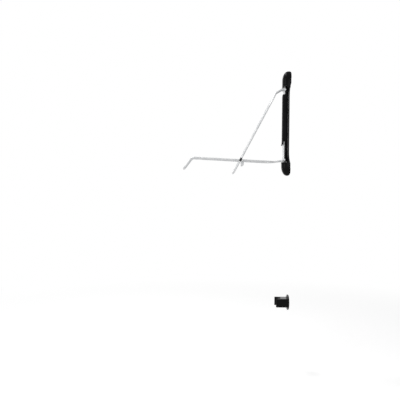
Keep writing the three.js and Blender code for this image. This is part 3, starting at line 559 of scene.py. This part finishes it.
def arm_half(form, hinge, corners, bends):
    """Right half of an arm: its eye, its wire to the middle of the cross bar, and the weld,
    which is ground flush with the two faces of the eye."""
    across = Matrix.Rotation(math.radians(90), 4, "Y")
    turned(form, pipe_profile(eye_bore, eye_radius, eye_inner, eye_outer, eye_chamfer),
           Matrix.Translation(hinge) @ across, eye_sides)
    places = [hinge + Vector((x, -out, rise)) for x, out, rise in corners]
    bent_wire(form, places, bends)
    heading = (places[1] - places[0]).normalized()
    for vert in weld_bead(form, places[0] + heading * weld_step, heading, wire_radius, weld_size):
        vert.co.x = min(max(vert.co.x, eye_inner), eye_outer)


def mirrored(form):
    """Makes half an arm whole across the middle plane."""
    bmesh.ops.mirror(form, geom=form.verts[:] + form.edges[:] + form.faces[:],
                     matrix=Matrix.Identity(4), merge_dist=merge_gap, axis="X")
    return closed_up(form)


upper_hinge = Vector((0, pivot_y, hinge_heights["upper"]))
upper_corners = [                 # across from the middle, out from the hinge, up from it
    (neck_half_width, wire_start, 0.0005),
    (neck_half_width, 0.018, 0.0005),
    (0.020, 0.052, -0.020),
    (upper_half_width, upper_splay_out, -upper_splay_drop),
    (upper_half_width, upper_bar_out, -upper_bar_drop),
    (0.0, upper_bar_out, -upper_bar_drop),
]
upper_bends = [0.012, 0.012, 0.034, 0.028]
upper = bmesh.new()
arm_half(upper, upper_hinge, upper_corners, upper_bends)
made_up("upper_arm_loop", mirrored(upper), silver_coat, "upper_arm",
        "upper_arm_wire")


# ------------------------------------------------------------------ guide sleeves
# A soft black rubber sleeve is pushed on to each wire of the upper arm, where the wire crosses
# a rail of the lower arm. It keeps the two steel wires from knocking.

sleeve_length = 0.020
sleeve_radius = 0.0061
sleeve_bore = 0.0053
sleeve_chamfer = 0.0004
sleeve_sides = 32

rubber = surface("black_rubber", (0.010, 0.010, 0.010), (0.018, 0.018, 0.019), 0.6, 0.85,
                 patch=0.006, grain=0.0006, relief=0.0001, specular=0.25)
wire_run = Vector((0, upper_splay_out - upper_bar_out, upper_splay_drop - upper_bar_drop))
facing = wire_run.normalized().to_track_quat("Z", "X").to_matrix().to_4x4()
sleeve_profile = pipe_profile(sleeve_bore, sleeve_radius, -sleeve_length / 2, sleeve_length / 2,
                              sleeve_chamfer)
for side in ("left", "right"):
    low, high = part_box(f"upper_arm_sleeve_{side}")
    sleeve = bmesh.new()
    turned(sleeve, sleeve_profile, Matrix.Translation((low + high) / 2) @ facing, sleeve_sides)
    made_up(f"upper_arm_grip_{side}", closed_up(sleeve), rubber, "upper_arm",
            f"upper_arm_sleeve_{side}")


# ------------------------------------------------------------------ lower arm
# The other wire loop. Its two rails run almost level under the wheel and turn down at their
# far end into a cradle for the tyre. A short round-ended peg is welded under each rail.

rail_half_width = 0.040
rail_start = 0.096                # out from the hinge to where the rails run parallel
rail_end = 0.540
rail_drop = 0.014                 # below the hinge at their start
rail_rise = 0.019
cradle_out = 0.589                # cross bar of the cradle
cradle_drop = 0.060
peg_radius = 0.006
peg_length = 0.032
peg_reach = 0.2452
peg_sides = 32
peg_round_steps = 8
peg_weld_size = 0.0013
peg_weld_drop = 0.0052            # below the middle of the rail

lower_hinge = Vector((0, pivot_y, hinge_heights["lower"]))
lower_corners = [                 # across from the middle, out from the hinge, up from it
    (neck_half_width, wire_start, -0.0023),
    (neck_half_width, 0.016, -0.007),
    (0.015, 0.060, -rail_drop),
    (rail_half_width, rail_start, -rail_drop),
    (rail_half_width, rail_end, rail_rise - rail_drop),
    (rail_half_width, cradle_out, -cradle_drop),
    (0.0, cradle_out, -cradle_drop),
]
lower_bends = [0.012, 0.026, 0.026, 0.020, 0.022]
lower = bmesh.new()
arm_half(lower, lower_hinge, lower_corners, lower_bends)

rail_height = -rail_drop + rail_rise * (peg_reach - rail_start) / (rail_end - rail_start)
peg_place = Matrix.Translation(lower_hinge + Vector((rail_half_width, -peg_reach, rail_height)))
peg_profile = [(0.0, 0.0), (peg_radius, 0.0)]
for step in range(peg_round_steps + 1):
    angle = math.pi / 2 * step / peg_round_steps
    peg_profile.append((peg_radius * math.cos(angle),
                        -peg_length + peg_radius * (1 - math.sin(angle))))
turned(lower, peg_profile, peg_place, peg_sides)
weld_bead(lower, peg_place @ Vector((0, 0, -peg_weld_drop)), Vector((0, 0, 1)), peg_radius,
          peg_weld_size)
made_up("lower_arm_loop", mirrored(lower), silver_coat, "lower_arm",
        "lower_arm_wire")


# ------------------------------------------------------------------ rear tyre rest
# A glossy black moulding fixed to the wall by two countersunk screws: a round flange, and a
# saddle whose groove holds the rear tyre away from the wall.

rest_edge = 0.0006
rest_screw_edge = 0.0003

softened_piece("tyre_rest_saddle", "tyre_rest", rest_edge, gloss_black, "wall_mount",
               crowded=True)
for end in ("upper", "lower"):
    node = f"tyre_rest_screw_{end}"
    softened_piece(f"{node}_head", node, rest_screw_edge, zinc, "wall_mount")


# ------------------------------------------------------------------ camera
# The rack is seen level and from its side, +X, from about three metres. The camera is turned
# a little about its own axis.

eye = Vector((3.0, -0.5275, -0.727))
roll = math.radians(0.70)

camera_data = bpy.data.cameras.new("camera")
camera_data.sensor_width = 36.0
camera_data.lens = 45.7
camera = bpy.data.objects.new("camera", camera_data)
camera.matrix_world = (Matrix.Translation(eye)
                       @ Matrix.Rotation(math.radians(90), 4, "Z")
                       @ Matrix.Rotation(math.radians(90), 4, "X")
                       @ Matrix.Rotation(roll, 4, "Z"))
bpy.context.scene.collection.objects.link(camera)
bpy.context.scene.camera = camera


# ------------------------------------------------------------------ floor, lamps and world
# A white floor that keeps the rack's shadow and fades into a white surround, which polished
# faces reflect too. The light on the rack itself is a plain grey world and soft lamps.

floor_height = -1.73
floor_reach = 14.0
floor_grey = 0.85
floor_lift = 0.4                  # light added to the floor as it is seen
fade_start = 1.9                  # from the middle of the floor to where it starts to fade
fade_end = 4.0
surround_white = 1.0
world_grey = 0.42

floor_form = bmesh.new()
bmesh.ops.create_circle(floor_form, cap_ends=True, segments=96, radius=floor_reach)
bmesh.ops.translate(floor_form, verts=floor_form.verts, vec=(0, 0, floor_height))
floor_mesh = bpy.data.meshes.new("floor")
floor_form.to_mesh(floor_mesh)
floor_form.free()
floor = bpy.data.objects.new("floor", floor_mesh)
bpy.context.scene.collection.objects.link(floor)


def seen_ray(tree, strength):
    """A socket that gives this strength to rays from the eye, or by way of a shiny or clear face,
    and nothing to the light that falls on the rack."""
    path = tree.nodes.new("ShaderNodeLightPath")
    first = tree.nodes.new("ShaderNodeMath")
    first.operation = "ADD"
    second = tree.nodes.new("ShaderNodeMath")
    second.operation = "ADD"
    second.use_clamp = True
    level = tree.nodes.new("ShaderNodeMath")
    level.operation = "MULTIPLY"
    level.inputs[1].default_value = strength
    tree.links.new(path.outputs["Is Camera Ray"], first.inputs[0])
    tree.links.new(path.outputs["Is Glossy Ray"], first.inputs[1])
    tree.links.new(first.outputs["Value"], second.inputs[0])
    tree.links.new(path.outputs["Is Transmission Ray"], second.inputs[1])
    tree.links.new(second.outputs["Value"], level.inputs[0])
    return level.outputs["Value"]


floor_paint = bpy.data.materials.new("floor")
floor_paint.use_nodes = True
tree = floor_paint.node_tree
shader = tree.nodes["Principled BSDF"]
shader.inputs["Base Color"].default_value = (floor_grey, floor_grey, floor_grey, 1)
shader.inputs["Roughness"].default_value = 0.9
shader.inputs["Specular IOR Level"].default_value = 0.1
lift = tree.nodes.new("ShaderNodeEmission")
lifted = tree.nodes.new("ShaderNodeAddShader")
tree.links.new(seen_ray(tree, floor_lift), lift.inputs["Strength"])
tree.links.new(shader.outputs["BSDF"], lifted.inputs[0])
tree.links.new(lift.outputs["Emission"], lifted.inputs[1])
texture_place = tree.nodes.new("ShaderNodeTexCoord")
distance = tree.nodes.new("ShaderNodeVectorMath")
distance.operation = "LENGTH"
fade = tree.nodes.new("ShaderNodeMapRange")
fade.interpolation_type = "SMOOTHSTEP"
fade.inputs["From Min"].default_value = fade_start
fade.inputs["From Max"].default_value = fade_end
haze = tree.nodes.new("ShaderNodeEmission")
haze.inputs["Color"].default_value = (surround_white, surround_white, surround_white, 1)
blend = tree.nodes.new("ShaderNodeMixShader")
tree.links.new(texture_place.outputs["Object"], distance.inputs[0])
tree.links.new(distance.outputs["Value"], fade.inputs["Value"])
tree.links.new(fade.outputs["Result"], blend.inputs["Fac"])
tree.links.new(lifted.outputs["Shader"], blend.inputs[1])
tree.links.new(haze.outputs["Emission"], blend.inputs[2])
tree.links.new(blend.outputs["Shader"], tree.nodes["Material Output"].inputs["Surface"])
floor_mesh.materials.append(floor_paint)

world = bpy.data.worlds.new("world")
world.use_nodes = True
tree = world.node_tree
lit = tree.nodes["Background"]
lit.inputs["Color"].default_value = (world_grey, world_grey, world_grey, 1)
seen = tree.nodes.new("ShaderNodeBackground")
seen.inputs["Color"].default_value = (surround_white, surround_white, surround_white, 1)
choose = tree.nodes.new("ShaderNodeMixShader")
tree.links.new(seen_ray(tree, 1.0), choose.inputs["Fac"])
tree.links.new(lit.outputs["Background"], choose.inputs[1])
tree.links.new(seen.outputs["Background"], choose.inputs[2])
tree.links.new(choose.outputs["Shader"], tree.nodes["World Output"].inputs["Surface"])
bpy.context.scene.world = world
bpy.context.scene.view_settings.view_transform = "Standard"


def soft_lamp(name, spot, aim, width, watts):
    """A square studio lamp at a spot, turned towards its aim."""
    lamp_data = bpy.data.lights.new(name, "AREA")
    lamp_data.shape = "SQUARE"
    lamp_data.size = width
    lamp_data.energy = watts
    lamp = bpy.data.objects.new(name, lamp_data)
    lamp.location = spot
    toward = Vector(aim) - Vector(spot)
    lamp.rotation_euler = toward.to_track_quat("-Z", "Y").to_euler()
    bpy.context.scene.collection.objects.link(lamp)


soft_lamp("lamp_above", (1.3, -1.4, 2.2), (0, -0.25, -0.3), 1.4, 30)
soft_lamp("lamp_front", (2.2, -2.6, 0.2), (0, -0.2, -0.5), 1.6, 20)
soft_lamp("lamp_far_side", (-2.4, -1.6, 0.6), (0, -0.2, -0.5), 1.6, 10)
soft_lamp("lamp_rim", (-0.4, -1.5, 2.4), (0, -0.05, -0.1), 0.4, 26)
